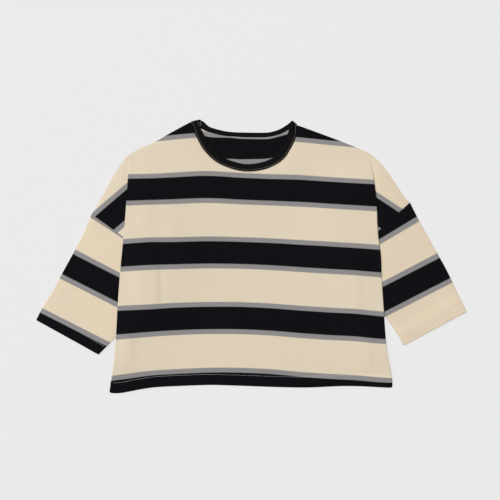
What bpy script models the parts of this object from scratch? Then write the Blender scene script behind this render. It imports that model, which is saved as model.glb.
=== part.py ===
"""A boxy striped tee with three-quarter sleeves, laid flat, as closed cloth walls.

Every cut piece is one object: front, back, two sleeves and the neck binding. The
sleeves were swung down, so the spare cloth of each side is tucked in between
front and back. Along the fold edge of the body the dropped shoulder comes out
from under it and meets the sleeve at the armhole seam.

Plan sizes are in millimetres: x to the wearer's left as seen from the front, y
towards the neck, both from the middle of the laid garment. z is height above the
table that the back panel lies on.
"""

import math
from collections import namedtuple

import bpy
from mathutils import Vector
from mathutils.geometry import delaunay_2d_cdt

MM = 0.001

# Cloth and making
CLOTH = 1.2  # wall of heavy jersey
SEAM_GAP = 0.3  # between sewn pieces, and between layers
HEM_DEPTH = 20.0  # turn-up at the hem
CUFF_DEPTH = 20.0  # turn-up at the cuffs
HEM_STEP = 3.0  # length over which a turn-up's second layer ends
CUFF_STEP = 28.0  # the same in a cuff, where two layers end
CORNER_CLEAR = 10.0  # the turn-up's step is drawn this far from the hem's corners
EDGE_ROUND = 0.5  # rounding of a cloth edge
FOLD_INSET = 0.4  # a round fold reaches in by this share of its thickness
INNER_INSET = 0.2  # the same on the inside of a sleeve
BAND_WALL = 1.6  # folded rib binding, pressed flat
BAND_WIDTH = 14.2  # binding width at centre front

# How the layers lie
TUCK_LIFT = 2 * CLOTH + SEAM_GAP  # height of the dropped shoulder at the fold edge
ARM_LEVEL = 3.0  # it stays at that height this far outside the fold edge
ARM_DROP = 80.0  # length over which it then comes down to the table
TUCK_FULL = 25.0  # width at which the tuck has its full height
TUCK_SLOPE = 110.0  # length over which the front comes down past the tuck's inner fold
TUCK_END = 3.0  # the same on the back panel, under the front
SLEEVE_CLEAR = 8.0  # the front stays level this far past the hidden sleeve
SLEEVE_SLOPE = 90.0  # length over which it then comes down
ARMHOLE_BLEND = 30.0  # length over which the front changes height at the hidden seam
FOLD_STEP = 1.2  # plan width of the round drop from the fold edge to the shoulder

# Mesh density
EDGE_STEP = 15.0
GRID_STEP = 32.0
LEAST_STEP = 7.0
SLEEVE_ACROSS = 16
SLEEVE_STEP = 19.0
BAND_STEP = 9.0
BAND_TURN = 4  # sections round each end of the laid binding
CURVE_PARTS = 8  # stretches of a smooth curve between two rows of a table
FINE_STEP = 1.0  # spacing along a curve that is measured along afterwards
GRID_CLEAR = 0.5  # a grid point keeps this share of the grid's step from other points
SHARP_ANGLE = 50.0  # degrees from which an edge is shaded sharp
ROUGHNESS = 0.9

Side = namedtuple("Side", "name sign shoulder fold underarm sleeve_outer sleeve_inner")

# Plan outlines of each side. shoulder runs from the neck to the armhole, fold from
# the shoulder to the hem, sleeve_outer and sleeve_inner from the armhole to the cuff.
LEFT = Side(
    name="left",
    sign=-1,
    shoulder=(
        (-116.9, 258.2),
        (-119.8, 257.3),
        (-160.0, 235.5),
        (-183.0, 221.8),
        (-213.7, 208.0),
        (-236.0, 195.6),
        (-252.4, 176.8),
        (-286.0, 117.5),
        (-307.0, 81.5),
    ),
    fold=(
        (-236.0, 195.6),
        (-236.8, 154.0),
        (-242.5, 70.0),
        (-246.8, 22.0),
        (-251.3, -26.0),
        (-256.5, -95.0),
        (-259.5, -151.0),
        (-264.4, -205.0),
        (-272.5, -258.5),
    ),
    underarm=(-157.0, -25.0),
    sleeve_outer=(
        (-307.0, 81.5),
        (-318.2, 54.0),
        (-333.4, 23.0),
        (-358.3, -22.5),
        (-383.2, -68.5),
        (-402.3, -100.0),
        (-413.0, -121.0),
    ),
    sleeve_inner=((-157.0, -25.0), (-259.0, -150.5), (-293.5, -187.0)),
)
RIGHT = Side(
    name="right",
    sign=1,
    shoulder=(
        (87.0, 252.4),
        (93.8, 250.3),
        (176.0, 219.5),
        (225.3, 198.0),
        (249.1, 177.1),
        (270.5, 147.0),
        (291.5, 116.5),
        (303.0, 104.0),
    ),
    fold=(
        (225.3, 198.0),
        (233.5, 146.5),
        (238.0, 112.0),
        (240.0, 66.0),
        (241.8, 38.0),
        (246.5, 4.0),
        (248.8, -50.0),
        (252.5, -104.0),
        (256.0, -155.0),
        (258.7, -180.0),
        (262.0, -199.0),
        (266.3, -218.0),
        (268.9, -238.0),
        (269.2, -249.5),
    ),
    underarm=(172.0, -14.0),
    sleeve_outer=(
        (303.0, 104.0),
        (320.0, 70.5),
        (346.0, 23.0),
        (372.0, -23.0),
        (393.5, -68.0),
        (411.6, -105.6),
    ),
    sleeve_inner=((172.0, -14.0), (257.0, -116.5), (272.0, -137.0), (291.5, -169.5)),
)
SIDES = (LEFT, RIGHT)

# Hem edge from the left corner to the right one; the left side hangs lower.
HEM = (
    (-272.5, -258.5),
    (-268.0, -261.0),
    (-250.0, -260.5),
    (-213.5, -253.7),
    (-185.0, -249.7),
    (-137.0, -247.2),
    (-79.0, -245.3),
    (-22.0, -246.8),
    (55.0, -249.5),
    (112.0, -250.0),
    (170.0, -247.5),
    (209.0, -247.8),
    (247.0, -249.8),
    (264.0, -250.5),
    (269.2, -249.5),
)

# Seam edge of the neck binding from left to right, and its width there.
NeckRow = namedtuple("NeckRow", "x y width")
NECK_FRONT = (
    NeckRow(-111.0, 242.0, 14.0),
    NeckRow(-104.5, 227.0, 14.3),
    NeckRow(-90.3, 203.0, BAND_WIDTH),
    NeckRow(-66.7, 181.3, BAND_WIDTH),
    NeckRow(-37.0, 168.6, BAND_WIDTH),
    NeckRow(-8.0, 163.7, BAND_WIDTH),
    NeckRow(26.5, 168.7, BAND_WIDTH),
    NeckRow(51.6, 180.5, BAND_WIDTH),
    NeckRow(64.4, 191.8, BAND_WIDTH),
    NeckRow(71.8, 203.5, BAND_WIDTH),
    NeckRow(81.0, 220.8, 15.0),
    NeckRow(86.0, 238.0, 16.0),
)
NECK_BACK = (
    NeckRow(-99.0, 247.3, 13.5),
    NeckRow(-85.0, 240.2, 10.3),
    NeckRow(-57.0, 232.6, 9.6),
    NeckRow(-35.0, 230.6, 8.8),
    NeckRow(-12.0, 229.4, 9.2),
    NeckRow(22.0, 229.2, 9.2),
    NeckRow(38.0, 230.9, 8.8),
    NeckRow(57.0, 236.3, 9.4),
    NeckRow(74.0, 245.6, 10.2),
)
# At each end of the laid binding: where its seam edge and its free edge turn over.
TurnRow = namedtuple("TurnRow", "seam_x seam_y free_x free_y")
TURN_LEFT = TurnRow(-116.2, 258.2, -98.0, 262.0)
TURN_RIGHT = TurnRow(86.2, 252.4, 76.0, 260.6)

# Linear RGB colours
CREAM = (0.72, 0.63, 0.48, 1.0)
BLACK = (0.008, 0.007, 0.010, 1.0)


def smooth(value):
    """0 to 1 with level ends, for value from 0 to 1."""
    value = min(max(value, 0.0), 1.0)
    return value * value * (3 - 2 * value)


def length_of(points):
    return sum((b - a).length for a, b in zip(points, points[1:]))


def curve_through(rows, step):
    """Evenly spaced points along a smooth open curve through rows of (x, y)."""
    knots = [Vector(row[:2]) for row in rows]
    knots = [2 * knots[0] - knots[1], *knots, 2 * knots[-1] - knots[-2]]
    dense = [knots[1]]
    for before, start, end, after in zip(knots, knots[1:], knots[2:], knots[3:]):
        # the tangents are scaled to the span, so that uneven rows don't overshoot
        span = (end - start).length
        tangent_in = (end - before).normalized() * span
        tangent_out = (after - start).normalized() * span
        for i in range(1, CURVE_PARTS + 1):
            u = i / CURVE_PARTS
            dense.append(
                start * (2 * u**3 - 3 * u**2 + 1)
                + tangent_in * (u**3 - 2 * u**2 + u)
                + end * (3 * u**2 - 2 * u**3)
                + tangent_out * (u**3 - u**2)
            )
    return spaced(dense, max(1, round(length_of(dense) / step)))


def spaced(points, parts):
    """The polyline again, as parts stretches of one length."""
    total = length_of(points)
    result, walked, target = [points[0]], 0.0, total / parts
    for a, b in zip(points, points[1:]):
        stretch = (b - a).length
        while walked + stretch >= target - 1e-9 and len(result) < parts:
            result.append(a.lerp(b, (target - walked) / stretch))
            target += total / parts
        walked += stretch
    return [*result, points[-1]]


def straight(start, end, step):
    start, end = Vector(start), Vector(end)
    parts = max(1, round((end - start).length / step))
    return [start.lerp(end, i / parts) for i in range(parts + 1)]


def x_at(line, y):
    """x where a polyline that runs down the garment passes height y."""
    for a, b in zip(line, line[1:]):
        if a.y >= y >= b.y and a.y > b.y:
            return a.x + (b.x - a.x) * (a.y - y) / (a.y - b.y)
    return line[0].x if y > line[0].y else line[-1].x


def left_of(point, start, end):
    """Distance of a point to the left of the line from start to end."""
    along = (end - start).normalized()
    offset = point - start
    return along.x * offset.y - along.y * offset.x


class Layout:
    """Where the folds of one side run, and how high its layers lie."""

    def __init__(self, side):
        self.side = side
        self.sign = side.sign
        self.fold = curve_through(side.fold, EDGE_STEP)
        self.underarm = Vector(side.underarm)
        self.armhole_top = Vector(side.shoulder[-1])
        self.sleeve_edge = curve_through(side.sleeve_inner, EDGE_STEP)
        self.corner = self.fold[-1]
        self.tuck = curve_through((self.fold[0], self.underarm, self.corner), EDGE_STEP)
        self.exit = self.armhole_exit()

    def armhole_exit(self):
        """Where the armhole seam comes out from under the fold edge."""
        for a, b in zip(self.fold, self.fold[1:]):
            before, after = self.above_armhole(a), self.above_armhole(b)
            if before >= 0 > after:
                return a.lerp(b, before / (before - after))
        raise ValueError("the armhole seam doesn't cross the fold edge")

    def outside(self, point):
        """Distance outside the fold edge; inside it is negative."""
        return (point.x - x_at(self.fold, point.y)) * self.sign

    def in_tuck(self, point):
        """Distance from the tuck's inner fold towards the fold edge."""
        return (point.x - x_at(self.tuck, point.y)) * self.sign

    def above_armhole(self, point):
        """Distance from the armhole seam towards the shoulder."""
        return self.sign * left_of(point, self.underarm, self.armhole_top)

    def in_sleeve(self, point):
        """Distance from the sleeve's inner edge towards its outer edge."""
        return (point.x - x_at(self.sleeve_edge, point.y)) * self.sign

    def fullness(self, point):
        """0 at the ends of the tuck, 1 where it is wide enough to stand full."""
        width = (x_at(self.fold, point.y) - x_at(self.tuck, point.y)) * self.sign
        return smooth(width / TUCK_FULL)

    def lift(self, point):
        """Height of the underside of the dropped shoulder and the sleeve."""
        drop = smooth((self.outside(point) - ARM_LEVEL) / ARM_DROP)
        return TUCK_LIFT * self.fullness(point) * (1 - drop)

    def back(self, point):
        """Extra height under and on top of the back panel's first layer."""
        if self.outside(point) > FOLD_STEP / 2:
            return self.lift(point), self.lift(point)
        width = smooth(self.in_tuck(point) / TUCK_END) * self.fullness(point)
        shoulder = smooth(self.above_armhole(point) / (ARMHOLE_BLEND / 2))
        return 0.0, width * (CLOTH + shoulder * (CLOTH + SEAM_GAP))

    def front(self, point):
        """Height of what lies between the back's first layer and the front, and the
        front's own extra layers."""
        if self.outside(point) > FOLD_STEP / 2:
            return self.lift(point), 0.0
        width = smooth(1 + self.in_tuck(point) / TUCK_SLOPE) * self.fullness(point)
        shoulder = smooth(self.above_armhole(point) / ARMHOLE_BLEND)
        past_sleeve = -self.in_sleeve(point) - SLEEVE_CLEAR
        sleeve = (1 - shoulder) * smooth(1 - past_sleeve / SLEEVE_SLOPE)
        between = CLOTH + shoulder * (CLOTH + SEAM_GAP) + sleeve * 2 * (CLOTH + SEAM_GAP)
        return width * between, width * CLOTH * (1 + shoulder)


LAYOUTS = {side.name: Layout(side) for side in SIDES}
HEM_LINE = curve_through(HEM, EDGE_STEP)


def nearest_layout(point):
    return LAYOUTS["left"] if point.x < 0 else LAYOUTS["right"]


def hem_height(x):
    for a, b in zip(HEM_LINE, HEM_LINE[1:]):
        if a.x <= x <= b.x and a.x < b.x:
            return a.y + (b.y - a.y) * (x - a.x) / (b.x - a.x)
    return HEM_LINE[0].y if x < 0 else HEM_LINE[-1].y


def turn_up(point, ends_at):
    """1 on a turned-up hem, 0 above it. ends_at is where the step is over."""
    above = point.y - hem_height(point.x)
    return smooth((ends_at - above) / HEM_STEP)


def back_heights(point):
    under, over = nearest_layout(point).back(point)
    hem = turn_up(point, HEM_DEPTH)
    return under, CLOTH * (1 + hem) + over


def front_heights(point):
    under, own = nearest_layout(point).front(point)
    hem = turn_up(point, HEM_DEPTH + HEM_STEP)
    bottom = CLOTH * (1 + hem) + SEAM_GAP + under
    return bottom, bottom + CLOTH * (1 + hem) + own


def shifted(points, distance):
    """A polyline moved to its left by distance."""
    result = []
    for i, point in enumerate(points):
        along = (points[min(i + 1, len(points) - 1)] - points[max(i - 1, 0)]).normalized()
        result.append(point + Vector((-along.y, along.x)) * distance)
    return result


def panel_outline(neck):
    """A body panel's outline, anticlockwise from the left end of the hem. neck is its
    neckline from left to right."""
    outline = list(HEM_LINE)
    right, left = LAYOUTS["right"], LAYOUTS["left"]
    outline += side_edge(right)
    outline += list(reversed(neck))[1:-1]
    outline += list(reversed(side_edge(left)))
    return outline


def side_edge(layout):
    """From the hem corner up the fold edge, out along the armhole and up the shoulder."""
    rising = [p for p in reversed(layout.fold[:-1]) if p.y < layout.exit.y - LEAST_STEP]
    out = (layout.armhole_top - layout.exit).normalized()
    beside = layout.exit + out * FOLD_STEP
    armhole = straight(beside, layout.armhole_top, EDGE_STEP)
    shoulder = curve_through(layout.side.shoulder, EDGE_STEP)
    return [*rising, layout.exit, *armhole, *reversed(shoulder[:-1])]


def creases(layout):
    """The lines inside a panel that its height changes along."""
    sign = layout.sign
    upper = [p for p in layout.fold if p.y > layout.exit.y + LEAST_STEP / 2]
    inner = [layout.exit, *reversed(upper[1:])]
    outward = (layout.armhole_top - layout.exit).normalized() * FOLD_STEP
    outer = [layout.exit + outward]
    outer += [p + Vector((sign * FOLD_STEP, 0)) for p in inner[1:]]
    tuck = layout.tuck[1:-2]
    lines = [inner, outer, tuck]
    for share in (0.5, 1.0):
        lines.append([p - Vector((sign * TUCK_SLOPE * share, 0)) for p in tuck[1:-1]])
    lines.append(straight(layout.exit, layout.underarm, EDGE_STEP))
    seam = (layout.armhole_top - layout.underarm).normalized()
    to_shoulder = Vector((-seam.y, seam.x)) * sign
    lines.append([p + to_shoulder * ARMHOLE_BLEND for p in lines[-1][1:-1]])
    hidden = [p for p in layout.sleeve_edge if layout.outside(p) < -LEAST_STEP]
    for past in (SLEEVE_CLEAR, SLEEVE_CLEAR + SLEEVE_SLOPE):
        lines.append([p - Vector((sign * past, 0)) for p in hidden[1:]])
    return lines


def hem_lines():
    """The end of the turned-up hem, on both panels."""
    reach = min(abs(layout.corner.x) for layout in LAYOUTS.values()) - CORNER_CLEAR
    inside = [p for p in HEM_LINE if abs(p.x) < reach]
    heights = (HEM_DEPTH - HEM_STEP, HEM_DEPTH, HEM_DEPTH + HEM_STEP)
    return [[p + Vector((0, h)) for p in inside] for h in heights]


def is_inside(point, outline):
    inside = False
    for a, b in zip(outline, [*outline[1:], outline[0]]):
        if (a.y > point.y) != (b.y > point.y):
            if point.x < a.x + (b.x - a.x) * (point.y - a.y) / (b.y - a.y):
                inside = not inside
    return inside


def grid_points(outline, taken):
    """Points of an even triangular grid inside the outline, clear of taken ones."""
    low = Vector((min(p.x for p in outline), min(p.y for p in outline)))
    high = Vector((max(p.x for p in outline), max(p.y for p in outline)))
    row_step = GRID_STEP * math.sqrt(0.75)
    clear = GRID_STEP * GRID_CLEAR
    found = []
    for row in range(int((high.y - low.y) / row_step) + 1):
        for column in range(int((high.x - low.x) / GRID_STEP) + 1):
            across = (column + 0.5 * (row % 2)) * GRID_STEP
            point = low + Vector((across, row * row_step))
            if is_inside(point, outline) and all((point - q).length > clear for q in taken):
                found.append(point)
    return found


def plan_triangles(outline, lines):
    """Triangles inside an outline that keep its crease lines as edges."""
    points = list(outline)
    edges = []
    for line in lines:
        start = len(points)
        points += line
        edges += [(start + i, start + i + 1) for i in range(len(line) - 1)]
    points += grid_points(outline, points)
    loop = list(range(len(outline)))
    plan, _, faces, *_ = delaunay_2d_cdt(points, edges, [loop], 1, 0.01)
    return [Vector(p) for p in plan], [tuple(face) for face in faces]


def rim_of(faces):
    """The outline of the triangles, as each point's next point along it."""
    sides = {(f[i], f[(i + 1) % 3]) for f in faces for i in range(3)}
    return {a: b for a, b in sides if (b, a) not in sides}


def panel(name, outline, lines, heights, colour):
    """A cloth panel: two layers of triangles and a rounded rim between them."""
    plan, faces = plan_triangles(outline, lines)
    following = rim_of(faces)
    leading = {b: a for a, b in following.items()}
    count = len(plan)
    low, high, middle = [], [], []
    for i, point in enumerate(plan):
        bottom, top = heights(point)
        inset = Vector((0, 0))
        if i in following:
            along = (plan[following[i]] - plan[leading[i]]).normalized()
            inset = Vector((-along.y, along.x)) * EDGE_ROUND
            middle.append((i, (point.x, point.y, (bottom + top) / 2)))
        low.append((point.x + inset.x, point.y + inset.y, bottom))
        high.append((point.x + inset.x, point.y + inset.y, top))
    place = {i: 2 * count + k for k, (i, _) in enumerate(middle)}
    vertices = low + high + [co for _, co in middle]
    solid = [tuple(reversed(face)) for face in faces]
    solid += [tuple(i + count for i in face) for face in faces]
    for a, b in following.items():
        solid.append((a, b, place[b], place[a]))
        solid.append((place[a], place[b], b + count, a + count))
    return cloth_object(name, vertices, solid, colour)


def cloth_object(name, vertices, faces, colour):
    mesh = bpy.data.meshes.new(name)
    mesh.from_pydata([Vector(v) * MM for v in vertices], [], faces)
    mesh.validate()
    mesh.shade_smooth()
    mesh.set_sharp_from_angle(angle=math.radians(SHARP_ANGLE))
    body = bpy.data.objects.new(name, mesh)
    bpy.context.scene.collection.objects.link(body)
    material = bpy.data.materials.new(name + "_jersey")
    material.use_nodes = True
    shader = material.node_tree.nodes["Principled BSDF"]
    shader.inputs["Base Color"].default_value = colour
    shader.inputs["Roughness"].default_value = ROUGHNESS
    shader.inputs["Metallic"].default_value = 0.0
    mesh.materials.append(material)
    return body


def sleeve(name, side):
    """A flattened tube, open at the armhole and the cuff, with its end turned up."""
    layout = LAYOUTS[side.name]
    outer = curve_through(side.sleeve_outer, FINE_STEP)
    inner = curve_through(side.sleeve_inner, FINE_STEP)
    seam = (layout.underarm - layout.armhole_top).normalized()
    off_seam = Vector((-seam.y, seam.x)) * SEAM_GAP
    if off_seam.y > 0:
        off_seam = -off_seam
    length = length_of(outer)
    count = round(length / SLEEVE_STEP)
    turned = 1 - CUFF_DEPTH / length
    step = CUFF_STEP / length
    shares = [i / count for i in range(count) if i / count < turned - 1.5 * step]
    shares += [turned - step, turned - step / 2, turned, (turned + 1) / 2, 1.0]
    rings = []
    for share in shares:
        start = along_line(outer, share) + off_seam * (1 - share)
        end = along_line(inner, share) + off_seam * (1 - share)
        doubled = smooth((share - turned) / step + 1)
        rings.append(sleeve_ring(layout, start, end, CLOTH * (1 + doubled)))
    return tube(name, rings, CREAM)


def along_line(points, share):
    """The point of an evenly spaced polyline at a share of its length."""
    place = share * (len(points) - 1)
    index = min(int(place), len(points) - 2)
    return points[index].lerp(points[index + 1], place - index)


def sleeve_ring(layout, start, end, wall):
    """Outer and inner outline of the laid tube between its outer and inner edge."""
    across = (end - start).normalized()
    width = (end - start).length
    stack = 2 * wall + SEAM_GAP

    def side_points(inset, height):
        result = []
        for i in range(SLEEVE_ACROSS + 1):
            distance = inset + (width - 2 * inset) * i / SLEEVE_ACROSS
            point = start + across * distance
            result.append((point.x, point.y, layout.lift(point) + height))
        return result

    def loop(edge, inset, low, high):
        """Anticlockwise seen from the cuff of the left sleeve."""
        first, last = start + across * edge, end - across * edge
        middle = (low + high) / 2
        return [
            (first.x, first.y, layout.lift(first) + middle),
            *side_points(inset, high),
            (last.x, last.y, layout.lift(last) + middle),
            *reversed(side_points(inset, low)),
        ]

    outside = loop(0.0, stack * FOLD_INSET, 0.0, stack)
    inside = loop(wall, wall + stack * INNER_INSET, wall, wall + SEAM_GAP)
    return outside, inside


def tube(name, rings, colour):
    """A closed wall from rings of (outside loop, inside loop), open at both ends."""
    size = len(rings[0][0])
    vertices = [v for outside, inside in rings for v in (*outside, *inside)]
    faces = []
    for ring in range(len(rings) - 1):
        here, there = 2 * size * ring, 2 * size * (ring + 1)
        for i in range(size):
            j = (i + 1) % size
            faces.append((here + i, here + j, there + j, there + i))
            faces.append((here + size + j, here + size + i, there + size + i, there + size + j))
    last = 2 * size * (len(rings) - 1)
    for i in range(size):
        j = (i + 1) % size
        faces.append((j, i, size + i, size + j))
        faces.append((last + i, last + j, last + size + j, last + size + i))
    return cloth_object(name, vertices, outward(vertices, faces), colour)


def outward(vertices, faces):
    """The faces, turned over if they enclose a negative volume."""
    volume = 0.0
    for face in faces:
        a = Vector(vertices[face[0]])
        for k in range(1, len(face) - 1):
            b, c = Vector(vertices[face[k]]), Vector(vertices[face[k + 1]])
            volume += a.dot(b.cross(c))
    return faces if volume > 0 else [tuple(reversed(face)) for face in faces]


def band_edges(rows):
    """Evenly spaced pairs of seam edge and free edge along one half of the binding."""
    seam_rows = [TURN_LEFT[:2], *((r.x, r.y) for r in rows), TURN_RIGHT[:2]]
    free_rows = [TURN_LEFT[2:]]
    for before, row, after in zip(seam_rows, rows, seam_rows[2:]):
        along = (Vector(after) - Vector(before)).normalized()
        free_rows.append((row.x - along.y * row.width, row.y + along.x * row.width))
    free_rows.append(TURN_RIGHT[2:])
    seam, free = curve_through(seam_rows, FINE_STEP), curve_through(free_rows, FINE_STEP)
    parts = round(length_of(seam) / BAND_STEP)
    return [(along_line(seam, i / parts), along_line(free, i / parts)) for i in range(parts + 1)]


def band_section(seam, free, bottom, top):
    """Square at the seam edge, round at the folded free edge."""
    inward = (seam - free).normalized() * BAND_WALL * FOLD_INSET
    turned = free + inward
    return [
        (seam.x, seam.y, bottom),
        (turned.x, turned.y, bottom),
        (free.x, free.y, (bottom + top) / 2),
        (turned.x, turned.y, top),
        (seam.x, seam.y, top),
    ]


def turned_section(turn, outward_way, angle):
    """The binding's section where it turns over at a shoulder; angle 0 is on top."""
    seam, free = Vector(turn[:2]), Vector(turn[2:])
    inset = free + (seam - free).normalized() * BAND_WALL * FOLD_INSET
    centre = BAND_WALL + SEAM_GAP / 2

    def at(point, radius):
        moved = point + outward_way * radius * math.sin(angle)
        return (moved.x, moved.y, centre + radius * math.cos(angle))

    near, far = SEAM_GAP / 2, SEAM_GAP / 2 + BAND_WALL
    corners = ((seam, near), (inset, near), (free, (near + far) / 2), (inset, far), (seam, far))
    return [at(point, radius) for point, radius in corners]


def neckband():
    """The binding as one ring: the front half lies over the back half."""
    front, back = band_edges(NECK_FRONT), band_edges(NECK_BACK)
    level = BAND_WALL + SEAM_GAP
    sections = [band_section(s, f, level, level + BAND_WALL) for s, f in front]
    sections += turn_over(TURN_RIGHT, 1)
    # on the back half the cloth's right side is down, so top and bottom change places
    sections += [band_section(s, f, BAND_WALL, 0.0) for s, f in reversed(back)]
    sections += turn_over(TURN_LEFT, -1)
    size = len(sections[0])
    vertices = [v for section in sections for v in section]
    faces = []
    for n in range(len(sections)):
        here, there = size * n, size * ((n + 1) % len(sections))
        for i in range(size):
            j = (i + 1) % size
            faces.append((here + i, here + j, there + j, there + i))
    return cloth_object("neckband", vertices, outward(vertices, faces), BLACK)


def turn_over(turn, sign):
    """Sections between the two halves. sign 1 goes from the top half to the bottom."""
    seam, free = Vector(turn[:2]), Vector(turn[2:])
    along = (free - seam).normalized()
    outward_way = Vector((-along.y, along.x))
    if outward_way.y < 0:
        outward_way = -outward_way
    angles = [math.pi * i / (BAND_TURN + 1) for i in range(1, BAND_TURN + 1)]
    if sign < 0:
        angles.reverse()
    return [turned_section(turn, outward_way, angle) for angle in angles]


def neckline(rows):
    """A panel's neck edge from left to right, beside the binding's seam edge."""
    return shifted([seam for seam, _ in band_edges(rows)], -SEAM_GAP)


def build():
    for old in list(bpy.data.objects):
        bpy.data.objects.remove(old, do_unlink=True)
    lines = creases(LAYOUTS["left"]) + creases(LAYOUTS["right"]) + hem_lines()
    panel("front_panel", panel_outline(neckline(NECK_FRONT)), lines, front_heights, CREAM)
    panel("back_panel", panel_outline(neckline(NECK_BACK)), lines, back_heights, CREAM)
    sleeve("sleeve_left", LEFT)
    sleeve("sleeve_right", RIGHT)
    neckband()


build()
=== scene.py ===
"""The looks of a boxy striped tee with three-quarter sleeves, laid flat.

Every cut piece is a thin shell of cloth with its real folds: the sides of both body
panels are folded under along the near-vertical fold edges, the dropped shoulders come
out from under them, and the sleeves are flattened tubes with turned-up cuffs. Plan
sizes are in millimetres from the middle of the laid garment, x to the right as laid
and y towards the neck; z is height above the surface that it lies on.
"""

import math
from collections import namedtuple

import bpy
import numpy as np
from mathutils import Euler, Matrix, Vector, noise


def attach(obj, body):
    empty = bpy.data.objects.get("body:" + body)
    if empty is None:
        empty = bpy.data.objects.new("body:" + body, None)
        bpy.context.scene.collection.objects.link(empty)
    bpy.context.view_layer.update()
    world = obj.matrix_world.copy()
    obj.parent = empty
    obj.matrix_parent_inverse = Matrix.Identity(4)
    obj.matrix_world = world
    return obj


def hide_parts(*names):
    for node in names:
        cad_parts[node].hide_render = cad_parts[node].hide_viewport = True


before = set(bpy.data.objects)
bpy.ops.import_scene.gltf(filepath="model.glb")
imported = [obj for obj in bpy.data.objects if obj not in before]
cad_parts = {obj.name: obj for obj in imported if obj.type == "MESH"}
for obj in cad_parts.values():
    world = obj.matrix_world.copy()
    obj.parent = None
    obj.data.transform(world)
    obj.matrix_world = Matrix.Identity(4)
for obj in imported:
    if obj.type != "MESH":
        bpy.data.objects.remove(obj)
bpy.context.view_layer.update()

bl_info = {
    "name": "Laid striped tee",
    "version": (1, 0, 0),
    "blender": (4, 5, 0),
    "location": "3D View > Sidebar > Tee",
    "description": "Builds the cloth, stitching and stage of a striped tee laid flat",
    "category": "Object",
}

MM = 0.001

# --------------------------------------------------------------------------- sizes

# How high the layers lie. Lengths are in millimetres unless a comment says otherwise.
LAYER = 1.2  # height that one layer of cloth takes up
GAP = 0.3  # air between two pieces
PANEL_STEP = LAYER + GAP
BACK_MIDDLE = 0.5 * LAYER  # middle of the back's lowest layer
FRONT_MIDDLE = 1.5 * LAYER + GAP  # middle of the front's lowest layer where it lies on the back's
CUFF_MIDDLE = 3.5 * LAYER + GAP  # middle of a turned-up cuff's uppermost layer
SHOULDER_LIFT = 2 * LAYER + GAP  # underside of the dropped shoulder at the fold edge
ARM_LEVEL = 3.0  # it stays at that height this far outside the fold edge
ARM_DROP = 80.0  # length over which it then comes down to the table
TUCK_FULL = 25.0  # width at which a tuck has its full height
TUCK_SLOPE = 110.0  # length over which the front comes down inside a tuck
SLEEVE_CLEAR = 8.0  # the front stays level this far past the hidden sleeve
SLEEVE_SLOPE = 90.0  # length over which it then comes down
ARMHOLE_BLEND = 30.0  # length over which the front changes height at the hidden seam
FOLD_REACH = 1.5  # from where a fold starts to turn to its outermost line
FOLD_RUN = 2 * FOLD_REACH  # length of cloth round a fold
LEAST_TUCK = 0.3  # width of a tuck at its ends
LEAST_PITCH = 0.25  # share of a layer that a fold keeps at the ends of a tuck

# Turned-up hem and cuffs
HEM_DEPTH = 20.0
HEM_STEP = 3.0  # length over which the hem's second layer ends
HEM_CLEAR = 400.0  # the hem is this far from the neck, out of a seam's reach
CUFF_DEPTH = 20.0
CUFF_STEP = 28.0  # length over which a cuff's two extra layers end

# Loft of laid cloth above its pressed-flat height
FRONT_LOFT = 0.5  # height to which the front rises away from its edges
LOFT_FADE = 30.0  # it dies down within this distance of the folds and the hem
DEEPEST = -0.2  # no trough goes lower than this
ARM_LOFT = 0.7
SWELL_FADE = 14.0  # the cloth lies flat within this distance of a seam
SEAM_DIP = 0.45  # a seam lies this much lower than the cloth beside it
SEAM_REACH = 3.2  # width of the dip on one side of a seam
Ripple = namedtuple("Ripple", "height spacing seed")
FRONT_RIPPLES = (Ripple(0.28, 55.0, 3.1), Ripple(0.12, 19.0, 7.7))
ARM_RIPPLES = (Ripple(0.3, 42.0, 5.3), Ripple(0.12, 17.0, 1.9))

# Meshes. Rows are distances from an edge.
GRID = 3.6  # spacing of the cloth mesh
EDGE_ROWS = (0.0, 0.7, 1.6, 2.9, 4.8)  # closer rows beside a seam or a fold
HEM_ROWS = (0.0, 0.8, 2.0, 4.5, 8.0, 12.0, 15.5, 17.8, 19.0, 19.6, 20.2, 21.0, 22.0, 23.2, 25.0)
CUFF_ROWS = (0.0, 1.0, 2.5, 5.0, 9.0, 13.0, 16.0, 17.5, 18.5, 19.3, 20.2, 21.0, 22.0, 23.5)
TURN_UP_ROWS = (0.0, 1.5, 5.0, 10.0, 15.0, 18.0)  # rows of the turned-up layer
SLEEVE_WIDTH = 165.0  # its width about half way down, which sets the number of columns
FOLD_TURNS = 6  # faces round a fold
INNER_TURNS = 3  # the same round the hidden fold of a tuck
TUCK_COLUMNS = 8
CURVE_STEPS = 16  # steps of a curve between two rows of its table
WELD_REACH = 0.02  # patches are joined where their points are this close

# Plan outlines of each side. shoulder runs from the neck to the armhole, fold from the
# shoulder to the hem, sleeve_outer and sleeve_inner from the armhole to the cuff.
Side = namedtuple("Side", "sign shoulder fold underarm sleeve_outer sleeve_inner")
LEFT = Side(
    sign=-1,
    shoulder=(
        (-116.9, 258.2), (-119.8, 257.3), (-160.0, 235.5), (-183.0, 221.8), (-213.7, 208.0),
        (-236.0, 195.6), (-252.4, 176.8), (-286.0, 117.5), (-307.0, 81.5),
    ),
    fold=(
        (-236.0, 195.6), (-236.8, 154.0), (-242.5, 70.0), (-246.8, 22.0), (-251.3, -26.0),
        (-256.5, -95.0), (-259.5, -151.0), (-264.4, -205.0), (-272.5, -258.5),
    ),
    underarm=(-157.0, -25.0),
    sleeve_outer=(
        (-307.0, 81.5), (-318.2, 54.0), (-333.4, 23.0), (-358.3, -22.5), (-383.2, -68.5),
        (-402.3, -100.0), (-413.0, -121.0),
    ),
    sleeve_inner=((-157.0, -25.0), (-259.0, -150.5), (-293.5, -187.0)),
)
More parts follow.
